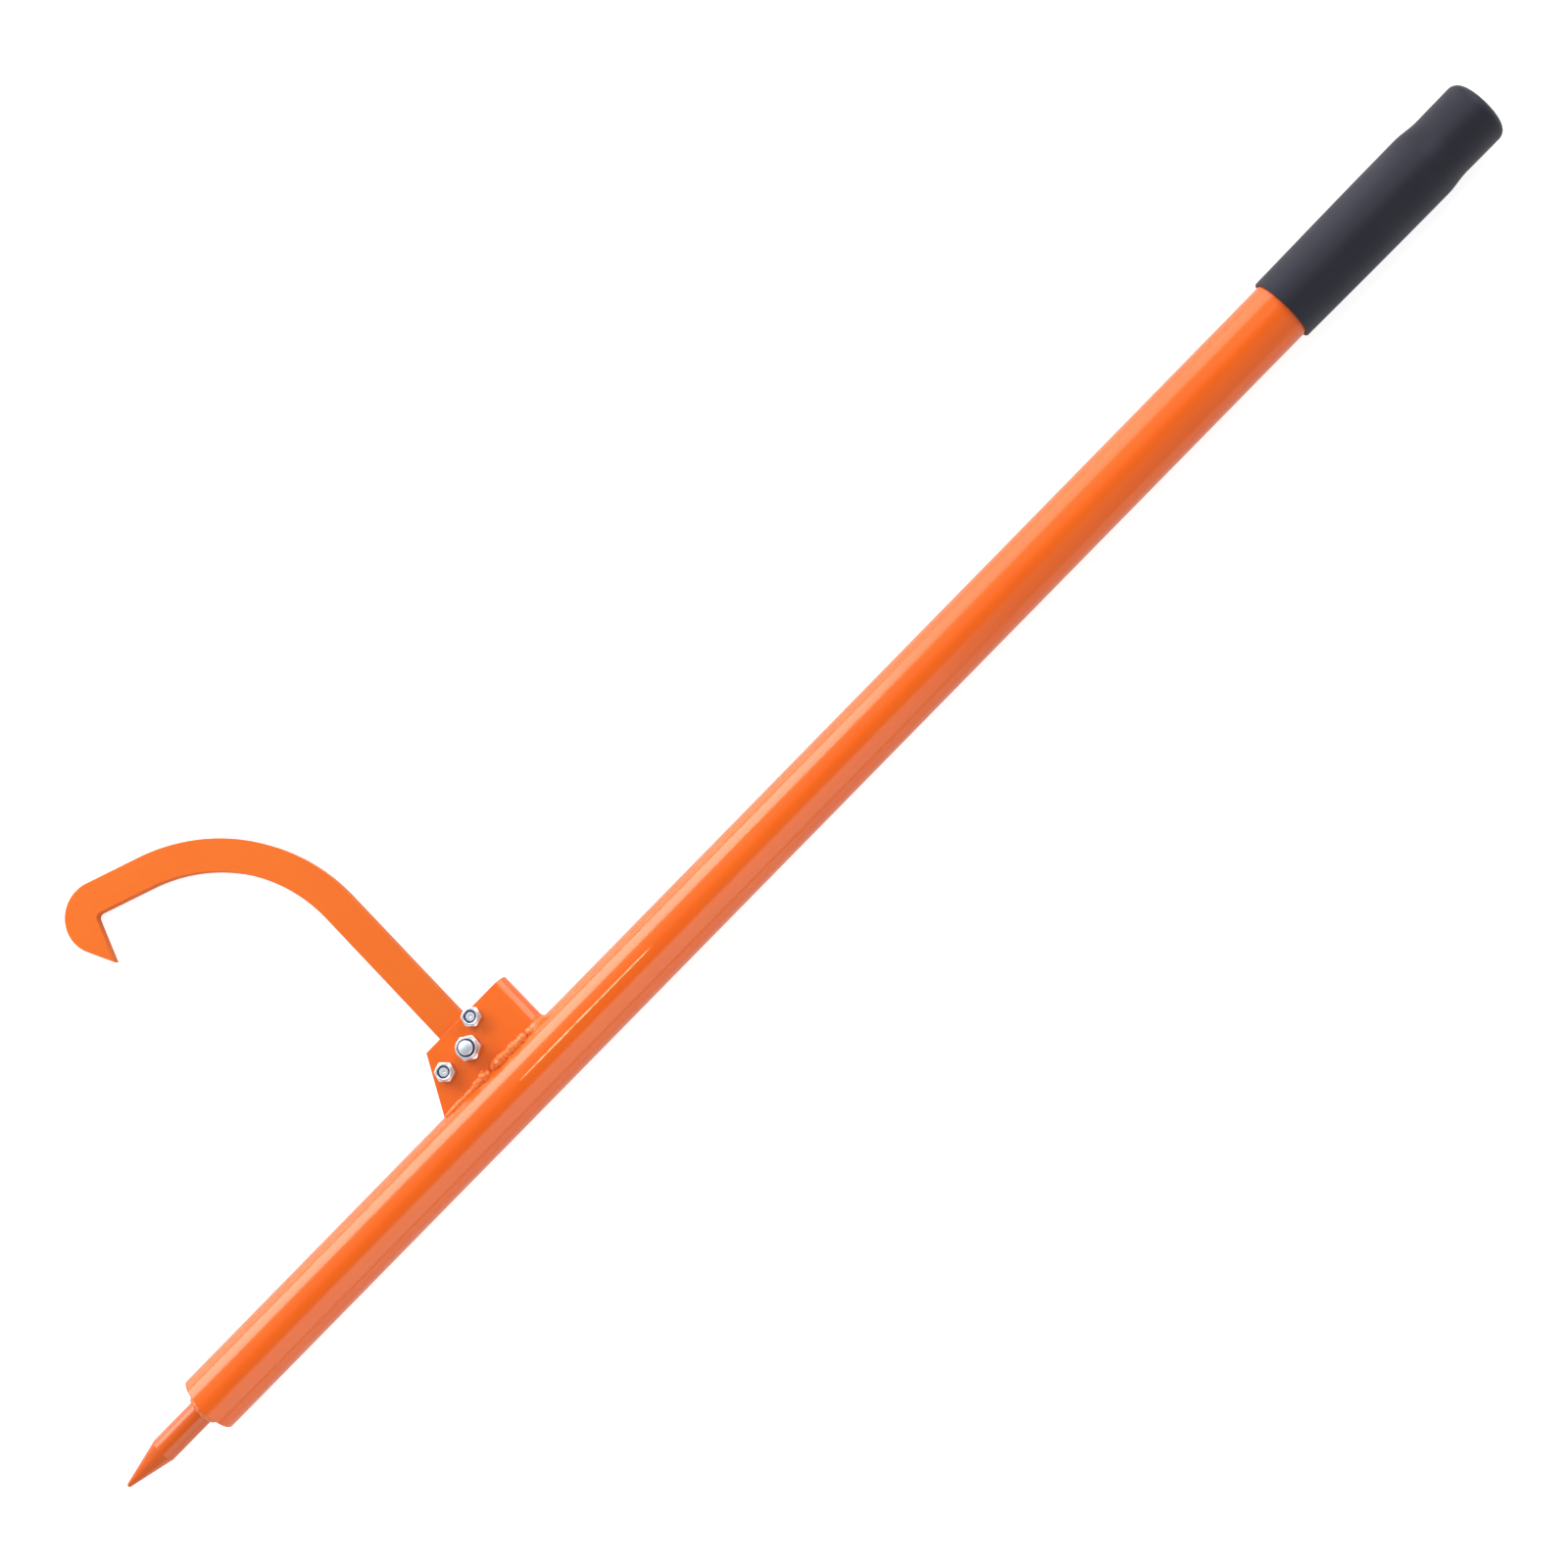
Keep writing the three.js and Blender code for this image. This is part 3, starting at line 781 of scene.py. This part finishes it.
def layBead(run, nodes, seed, closed=False, paint=weldPaintPaledForGlint, name="bead", **changes):
    # each point of the run carries its place and its share of the bead's radius
    path = addPath([point[:3] for point in run], closed)
    shares = path.data.attributes.new("share", "FLOAT", "POINT")
    shares.data.foreach_set("value", [point[3] for point in run])
    values = {**beadSizes, **changes, "Path": path, "Seed": beadSeeds[seed], "Material": paint}
    piece = growPiece(weldBead, name, values)
    bpy.data.objects.remove(path)
    settle(piece, nodes, smoothDegrees=beadSoftDegrees)


# The bracket's foot is welded by hand in short runs, from its front end to its bend:
# [share of the length, share of the bead's radius, height above its seat]
footRuns = (
    (0, 0.5, 0), (0.04, 0.65, 0), (0.3, 0.75, 0), (0.38, 0.95, 0.3), (0.45, 1.2, 0.6),
    (0.49, 0.9, 0), (0.52, 0.3, -1.2), (0.55, 0.3, -1.2), (0.57, 1, 0.5), (0.61, 1.35, 0.9),
    (0.67, 1.1, 0.6), (0.78, 1.2, 0.7), (0.9, 1, 0.5), (0.93, 0.4, -1), (0.96, 1, 0.5),
    (1, 0.7, 0),
)
footStep = 0.01  # share of the length
footSeat = 1.8  # how far off the cheek's face a bead of full size lies on the tube, mm
footInset = 1  # how far behind the cheek's front edge the bead starts, mm


def footPath(start, end, outer, side):
    points = []
    for i in range(round(1 / footStep) + 1):
        here = min(i * footStep, 1)
        before, after = next(pair for pair in zip(footRuns, footRuns[1:]) if here <= pair[1][0])
        blend = (here - before[0]) / (after[0] - before[0])
        share, rise = [before[k] + (after[k] - before[k]) * blend for k in (1, 2)]
        seat = outer + footSeat * share
        along = start + (end - start) * here
        points.append((along, footOf(seat) + rise, side * (seat + rise / 2), share))
    return points


# Round the bend the weld is a smooth concave fillet that runs out along both cheeks:
# [along, share of its full leg]
backWeld = {
    "leg": 4,
    "sunk": 0.8,
    "runOut": ((-5, 0.25), (-2.5, 0.7)),
    "turnSteps": 32,
    "arcSteps": 8,
}


def makeBackWeld(spec, bend, outer):
    quarter = math.pi / 2
    sunk, arcSteps, turnSteps = spec["sunk"], spec["arcSteps"], spec["turnSteps"]
    stops = [(along, -quarter, share) for along, share in spec["runOut"]]
    stops += [(0, -quarter + math.pi * i / turnSteps, 1) for i in range(turnSteps + 1)]
    stops += [(along, quarter, share) for along, share in reversed(spec["runOut"])]
    turns = [quarter * j / arcSteps for j in range(arcSteps + 1)]
    rings = []
    for along, angle, share in stops:
        leg = spec["leg"] * share
        section = [(leg - leg * math.cos(t), leg - leg * math.sin(t)) for t in turns]
        section += [(leg, -sunk), (-sunk, -sunk), (-sunk, leg)]
        ring = []
        for away, rise in section:
            x, z = (outer + away) * math.cos(angle), (outer + away) * math.sin(angle)
            ring.append(Vector((bend + along + x, footOf(z) + rise, z)))
        rings.append(ring)
    piece = loftRings("bead", rings, False)
    settle(piece, ["bracket_weld_back"], bracketPaintTonedToLight)


def makeBracketWelds():
    high = extent("bracket")[1]
    outer = high.z
    bend = high.x - outer
    start = frontEdge(footOf(outer)) + footInset
    for side, name in ((1, "front"), (-1, "rear")):
        layBead(footPath(start, bend, outer, side), ["bracket_weld_" + name], name)
    makeBackWeld(backWeld, bend, outer)


# The ring welds in the tube's mouth
mouthWelds = {
    "spikeBead": 2.6,
    "spikeBeadOut": 2.2,
    "spikeBeadRise": 0.2,
    "rimBead": 2.2,
    "rimBeadIn": 1.32,
    "sides": 96,
}
ringBead = {"Swell Share": 0.25, "Lump Height": 0.3, "Ripple Share": 0.12, "End Length": 0.01}


def ringPath(along, radius, sides):
    angles = [math.tau * i / sides for i in range(sides)]
    return [(along, radius * math.cos(angle), radius * math.sin(angle), 1) for angle in angles]


def makeMouthWelds(spec):
    along = extent("spike_weld")[0].x - spec["spikeBeadOut"]
    run = ringPath(along, extent("spike")[1].y + spec["spikeBeadRise"], spec["sides"])
    layBead(run, ["spike_weld"], "spike", True, Radius=spec["spikeBead"], **ringBead)
    high = extent("tube_mouth_weld")[1]
    run = ringPath(high.x - spec["rimBeadIn"], high.y - spec["rimBead"], spec["sides"])
    layBead(run, ["tube_mouth_weld"], "mouth", True, Radius=spec["rimBead"], **ringBead)


# The tube's own seam, a low rib along its top that shows for a part of its length; the
# real one is finer and would be lost between two pixels
seam = {
    "angle": math.radians(-4),
    "ends": (376, 499),
    "height": 0.45,
    "sunk": 0.02,
    "fadeLengths": (50, 75),
    "step": 2,
    "bead": {
        "Radius": 0.8,
        "Step": 0.5,
        "Ripple Share": 0,
        "Swell Length": 5,
        "Swell Share": 0.5,
        "Lump Size": 1.5,
        "Lump Height": 0.2,
        "End Length": 0.1,
    },
}


def makeSeam(spec):
    start, end = spec["ends"]
    rise, fall = spec["fadeLengths"]
    count = round((end - start) / spec["step"])
    run = []
    for i in range(count + 1):
        along = start + (end - start) * i / count
        fade = max(min((along - start) / rise, (end - along) / fall, 1), 0)
        lift = spec["height"] * math.sqrt(fade) - spec["sunk"]
        reach = tubeRadius - spec["bead"]["Radius"] + lift
        run.append((along, reach * math.sin(spec["angle"]), reach * math.cos(spec["angle"]), 1))
    layBead(run, [], "seam", False, seamGlintPaint, "tube_seam", **spec["bead"])


makeBracketWelds()
makeMouthWelds(mouthWelds)
makeSeam(seam)
print("welds made")


# Fasteners: hex bolts with nylon-insert lock nuts, forged, threaded and zinc plated
fasteners = {
    "pivot": {
        "acrossFlats": 15.5,
        "turn": math.radians(28),
        "boltRadius": 5,
        "pitch": 1.5,
        "headHeight": 6.4,
        "hexHeight": 5.6,
        "collarRadius": 7.4,
        "lipRadius": 5.95,
        "tipRadius": 4.9,
        "tipRound": 0.7,
        "tipLift": 0.8,
        "dome": 0.8,
        "dimple": 0,
    },
    "upper_stop": {
        "acrossFlats": 12.4,
        "turn": math.radians(16),
        "boltRadius": 4,
        "pitch": 1.25,
        "headHeight": 5.3,
        "hexHeight": 5.6,
        "collarRadius": 5.8,
        "lipRadius": 4.2,
        "tipRadius": 3.1,
        "tipRound": 0.4,
        "tipLift": 0,
        "dome": 0,
        "dimple": 0.6,
    },
}
fasteners["lower_stop"] = fasteners["upper_stop"]
hexCorner = {"radiusShare": 0.2, "arcSteps": 4, "sideSteps": 8}
chamferSlope = math.tan(math.radians(30))
fastenerSoftDegrees = 38


def hexDirections(flat, turn):
    # [cosine, sine, reach] round a hexagon whose corners are slightly rounded
    small, sideSteps = flat * hexCorner["radiusShare"], hexCorner["sideSteps"]
    half = math.pi / 6
    reach = (flat - small) / math.cos(half)
    points = []
    for k in range(6):
        here = turn + k * math.pi / 3
        after = here + math.pi / 3
        centre = reach * Vector((math.cos(here), math.sin(here)))
        points += arc(centre, small, here - half, here + half, hexCorner["arcSteps"])
        nextCentre = reach * Vector((math.cos(after), math.sin(after)))
        nextPoint = arc(nextCentre, small, after - half, after, 1)[0]
        last = points[-1]
        points += [last.lerp(nextPoint, i / sideSteps) for i in range(1, sideSteps)]
    return [(p.x / p.length, p.y / p.length, p.length) for p in points]


def ringOf(directions, station):
    # a station is (height, radius), or (height, limit, way) on the hexagon's sides, where
    # way tells whether the chamfer past the limit rises or falls
    if len(station) == 2:
        return [Vector((c * station[1], s * station[1], station[0])) for c, s, reach in directions]
    height, limit, way = station
    return [Vector((c * reach, s * reach, height + way * max(reach - limit, 0) * chamferSlope))
            for c, s, reach in directions]


def easedCorner(first, corner, last, steps=3):
    # a quadratic curve from first to last, drawn towards corner
    points = []
    for i in range(steps + 1):
        t = i / steps
        weights = ((1 - t) ** 2, 2 * t * (1 - t), t * t)
        points.append(tuple(
            sum(w * p[k] for w, p in zip(weights, (first, corner, last))) for k in range(2)))
    return points


def moveTo(piece, centre):
    piece.data.transform(Matrix.Translation((centre.x, centre.y, 0)))


nutForm = {
    "faceShare": 0.97,  # of half the width across flats
    "seatShare": 0.96,  # of the face's radius
    "seatHeight": 0.15,
    "boreRoom": 0.25,
    "boreChamfer": 0.5,
    "collarEase": 0.35,
    "rollSteps": 16,
    "rollDrop": 0.3,
    "ringRoom": 0.25,
}


def makeNut(name, spec, form):
    low, high = extent(name + "_nut")
    flat = spec["acrossFlats"] / 2
    seat, top = low.z, high.z
    seatTop = seat + form["seatHeight"]
    hexTop = seat + spec["hexHeight"]
    face = flat * form["faceShare"]
    collar, lip = spec["collarRadius"], spec["lipRadius"]
    bore = spec["boltRadius"] + form["boreRoom"]
    ease, chamfer = form["collarEase"], form["boreChamfer"]
    roll = (collar - lip) / 2  # the collar's edge is rolled over the ring
    ringWall = lip + form["ringRoom"]
    stations = [
        (seat + chamfer, bore),
        (seat, bore + chamfer),
        (seat, face * form["seatShare"]),
        (seatTop, face),
        (seatTop, face, 1),
        (hexTop, face, -1),
        (hexTop, face),
    ]
    stations += easedCorner((hexTop, collar + ease), (hexTop, collar), (hexTop + ease, collar))
    stations += roundCorner((top - roll, lip + roll), roll, 90, -90, form["rollSteps"])
    stations += [(top - roll - form["rollDrop"], ringWall), (hexTop, ringWall), (hexTop, bore)]
    directions = hexDirections(flat, spec["turn"])
    piece = loftRings(name, [ringOf(directions, s) for s in stations], True)
    moveTo(piece, middle(name + "_nut_insert"))
    settle(piece, [name + "_nut"], nutPlating, smoothDegrees=fastenerSoftDegrees)


threadSteps = 32  # in one turn
threadWidthShare = 0.49  # of the pitch, for half the ridge's width
ridgeSides = 4


def makeThreadTree():
    numbers = ("Pitch", "Turns", "Core Radius", "Start")
    tree, given = startTree("thread", {
        **{label: "Float" for label in numbers}, "Material": "Material"})
    height = addNode(tree, "ShaderNodeMath", {
        0: given["Pitch"], 1: given["Turns"]}, operation="MULTIPLY")
    helix = addNode(tree, "GeometryNodeCurveSpiral", {
        "Resolution": threadSteps,
        "Rotations": given["Turns"],
        "Start Radius": given["Core Radius"],
        "End Radius": given["Core Radius"],
        "Height": height.outputs[0],
    })
    halfWidth = addNode(tree, "ShaderNodeMath", {
        0: given["Pitch"], 1: threadWidthShare}, operation="MULTIPLY")
    section = addNode(tree, "GeometryNodeCurvePrimitiveCircle", {
        "Resolution": ridgeSides, "Radius": halfWidth.outputs[0]})
    ridge = addNode(tree, "GeometryNodeCurveToMesh", {
        "Curve": helix.outputs[0], "Profile Curve": section.outputs["Curve"], "Fill Caps": True})
    lift = addNode(tree, "ShaderNodeCombineXYZ", {"Z": given["Start"]})
    raised = addNode(tree, "GeometryNodeTransform", {
        0: ridge.outputs[0], "Translation": lift.outputs[0]})
    endTree(tree, raised.outputs[0], given["Material"])
    return tree


thread = makeThreadTree()

boltForm = {
    "faceShare": 0.96,  # of half the width across flats
    "crownShare": 0.5,  # of the face's radius
    "crownEdge": 0.5,
    "crownHeight": 0.1,
    "washerHeight": 0.3,
    "washerEdge": 0.2,
    "neckEase": 0.5,
    "threadRunIn": 0.6,
    "endSunk": 0.02,
    "endSteps": 6,
    "domeEdge": 0.3,
    # [share of its height, share of its radius]
    "dome": ((0.7, 0.7), (1, 0.4)),
    "dimple": ((0.7, 0.25), (1, 0.1)),
}


def makeBolt(name, spec, form):
    low, high = extent(name + "_bolt")
    radius, pitch = spec["boltRadius"], spec["pitch"]
    core = radius - pitch / 2
    flat = spec["acrossFlats"] / 2
    face = flat * form["faceShare"]
    headTop, headSeat = low.z, low.z + spec["headHeight"]
    crown, washer = headTop + form["crownHeight"], headSeat - form["washerHeight"]
    neck = form["neckEase"]
    threadStart = extent(name + "_nut")[0].z - pitch
    threadEnd = extent(name + "_nut_insert")[0].z
    tip, ease, dome = spec["tipRadius"], spec["tipRound"], spec["dome"]
    end = high.z + spec["tipLift"] - form["endSunk"]
    edge = end - dome
    stations = [
        (headTop, face * form["crownShare"]),
        (headTop, face - form["crownEdge"]),
        (crown, face),
        (crown, face, 1),
        (washer, face, -1),
        (washer, face),
        (headSeat, face - form["washerEdge"]),
    ]
    stations += easedCorner(
        (headSeat, radius + neck), (headSeat, radius), (headSeat + neck, radius))
    stations += [
        (threadStart - form["threadRunIn"], radius),
        (threadStart, core),
        (threadEnd, core),
        (threadEnd, tip),
    ]
    domeEdge = (edge + dome * form["domeEdge"], tip - ease)
    stations += easedCorner((edge - ease, tip), (edge, tip), domeEdge, form["endSteps"])
    stations += [(edge + dome * up, (tip - ease) * out) for up, out in form["dome"]]
    if spec["dimple"]:
        stations += [(end - spec["dimple"] * down, tip * out) for down, out in form["dimple"]]
    directions = hexDirections(flat, spec["turn"])
    shank = loftRings(name, [ringOf(directions, s) for s in stations], False)
    ridge = growPiece(thread, name, {
        "Pitch": pitch,
        "Turns": (threadEnd - pitch - threadStart) / pitch,
        "Core Radius": core,
        "Start": threadStart,
        "Material": boltPlating,
    })
    joined = bmesh.new()
    joined.from_mesh(shank.data)
    joined.from_mesh(ridge.data)
    joined.to_mesh(shank.data)
    joined.free()
    bpy.data.objects.remove(ridge)
    moveTo(shank, middle(name + "_nut_insert"))
    settle(shank, [name + "_bolt"], boltPlating, smoothDegrees=fastenerSoftDegrees)


insertForm = {"innerRoom": 0.12, "outerRoom": 0.2, "ease": 0.3, "sides": 64}


def makeInsert(name, spec, form):
    low, high = extent(name + "_nut_insert")
    inner, outer = spec["tipRadius"] + form["innerRoom"], spec["lipRadius"] + form["outerRoom"]
    top, ease = high.z, form["ease"]
    stations = [(low.z, inner), (low.z, outer)]
    stations += easedCorner((top - ease, outer), (top, outer), (top, outer - ease))
    stations += easedCorner((top, inner + ease), (top, inner), (top - ease, inner))
    piece = turnPiece(name, stations, form["sides"], nylonRing, alongX=False)
    moveTo(piece, middle(name + "_nut_insert"))
    settle(piece, [name + "_nut_insert"])


for name, spec in fasteners.items():
    makeNut(name, spec, nutForm)
    makeBolt(name, spec, boltForm)
    makeInsert(name, spec, insertForm)
print("fasteners made")


# Plates inside the tube's mouth keep their CAD shape
for node in ("spike_front_disc", "spike_rear_disc"):
    frame["nodes"][node].data.materials.clear()
    frame["nodes"][node].data.materials.append(primer)


# Studio: a pale glossy floor, an even dome with a darker strip overhead, one softbox on
# the hook's side and weaker panels on the far side and beside the grip
studio = {
    "floorHalf": 6,  # metres
    "floorColour": "#CCCCCC",
    "floorRoughness": 0.2,
    "liftSeen": 0.76,
    "liftMirrored": 0.38,
    "hookSide": 0.66,
    "farSide": 0.54,
    "ends": 0.85,
    "strip": 0.24,
    "stripLeanDegrees": -8,
    "stripEdge": (0.1, 0.58),
    "endEdge": (0.6, 0.9),
}
# each panel's centre, width and height in metres, brightness, and the point that it faces
panels = {
    "key": ((-0.65, 1.69, 0.82), (1.5, 1.4), 4.7, (-0.65, -0.14, 0)),
    "farSide": ((-0.62, -1.84, 1.06), (1.55, 2.0), 1.25, (-0.62, -0.14, 0)),
    "gripSide": ((0.7, 1.74, 0.7), (1.2, 1.4), 1.8, (0.7, -0.14, 0)),
    "overGrip": ((1.7, 0.55, 1.35), (0.8, 2.4), 2.9, (-0.25, -0.1, 0)),
}


def addFloor(spec):
    # the lift brightens the floor only where it is seen or mirrored, so that it comes out
    # white and still takes a faint shadow
    material, tree = startMaterial("pale studio floor")
    rays = addNode(tree, "ShaderNodeLightPath").outputs
    paint = addNode(tree, "ShaderNodeBsdfPrincipled", {
        "Base Color": linearColour(spec["floorColour"]), "Roughness": spec["floorRoughness"]})
    mirrored = addNode(tree, "ShaderNodeMath", {
        0: rays["Is Glossy Ray"], 1: rays["Is Transmission Ray"]}, operation="MAXIMUM")
    seenLift = addNode(tree, "ShaderNodeMath", {
        0: rays["Is Camera Ray"], 1: spec["liftSeen"]}, operation="MULTIPLY")
    lift = addNode(tree, "ShaderNodeMath", {
        0: mirrored.outputs[0], 1: spec["liftMirrored"], 2: seenLift.outputs[0],
    }, operation="MULTIPLY_ADD")
    glow = addNode(tree, "ShaderNodeEmission", {"Strength": lift.outputs[0]})
    surface = addNode(tree, "ShaderNodeAddShader", {0: paint.outputs[0], 1: glow.outputs[0]})
    addNode(tree, "ShaderNodeOutputMaterial", {"Surface": surface.outputs[0]})
    half = spec["floorHalf"]
    corners = [(-half, -half, 0), (half, -half, 0), (half, half, 0), (-half, half, 0)]
    mesh = bpy.data.meshes.new("floor")
    mesh.from_pydata(corners, [], [(0, 1, 2, 3)])
    mesh.materials.append(material)
    addObject("floor", mesh)


def addDome(spec):
    world = bpy.data.worlds.new("studio")
    bpy.context.scene.world = world
    world.use_nodes = True
    tree = world.node_tree
    tree.nodes.clear()
    towards = addNode(tree, "ShaderNodeTexCoord").outputs["Generated"]
    lean = math.radians(spec["stripLeanDegrees"])
    across = addNode(tree, "ShaderNodeVectorMath", {
        0: towards, 1: (0, math.cos(lean), -math.sin(lean)),
    }, operation="DOT_PRODUCT").outputs["Value"]
    inner, outer = spec["stripEdge"]
    hookSide = addNode(tree, "ShaderNodeMapRange", {
        "Value": across, "From Min": inner, "From Max": outer,
        "To Min": spec["strip"], "To Max": spec["hookSide"],
    }, interpolation_type="SMOOTHSTEP")
    bothSides = addNode(tree, "ShaderNodeMapRange", {
        "Value": across, "From Min": -inner, "From Max": -outer,
        "To Min": hookSide.outputs["Result"], "To Max": spec["farSide"],
    }, interpolation_type="SMOOTHSTEP")
    # low towards both ends of the handle the room is brighter
    parts = addNode(tree, "ShaderNodeSeparateXYZ", {0: towards})
    toEnds = addNode(tree, "ShaderNodeMath", {0: parts.outputs["X"]}, operation="ABSOLUTE")
    low, high = spec["endEdge"]
    lit = addNode(tree, "ShaderNodeMapRange", {
        "Value": toEnds.outputs[0], "From Min": low, "From Max": high,
        "To Min": bothSides.outputs["Result"], "To Max": spec["ends"],
    }, interpolation_type="SMOOTHSTEP")
    dome = addNode(tree, "ShaderNodeBackground", {
        "Color": (1, 1, 1, 1), "Strength": lit.outputs[0]})
    white = addNode(tree, "ShaderNodeBackground", {"Color": (1, 1, 1, 1)})
    rays = addNode(tree, "ShaderNodeLightPath").outputs
    seen = addNode(tree, "ShaderNodeMixShader", {
        0: rays["Is Camera Ray"], 1: dome.outputs[0], 2: white.outputs[0]})
    addNode(tree, "ShaderNodeOutputWorld", {"Surface": seen.outputs[0]})


def addPanel(name, place, size, radiance, aim):
    data = bpy.data.lights.new(name, "AREA")
    data.shape = "RECTANGLE"
    data.size, data.size_y = size
    data.energy = math.pi * data.size * data.size_y * radiance
    light = addObject(name, data)
    light.visible_camera = False
    place = Vector(place)
    light.location = place
    light.rotation_euler = (Vector(aim) - place).to_track_quat("-Z", "Y").to_euler()


addFloor(studio)
addDome(studio)
for name, panel in panels.items():
    addPanel(name, *panel)
print("studio lit")
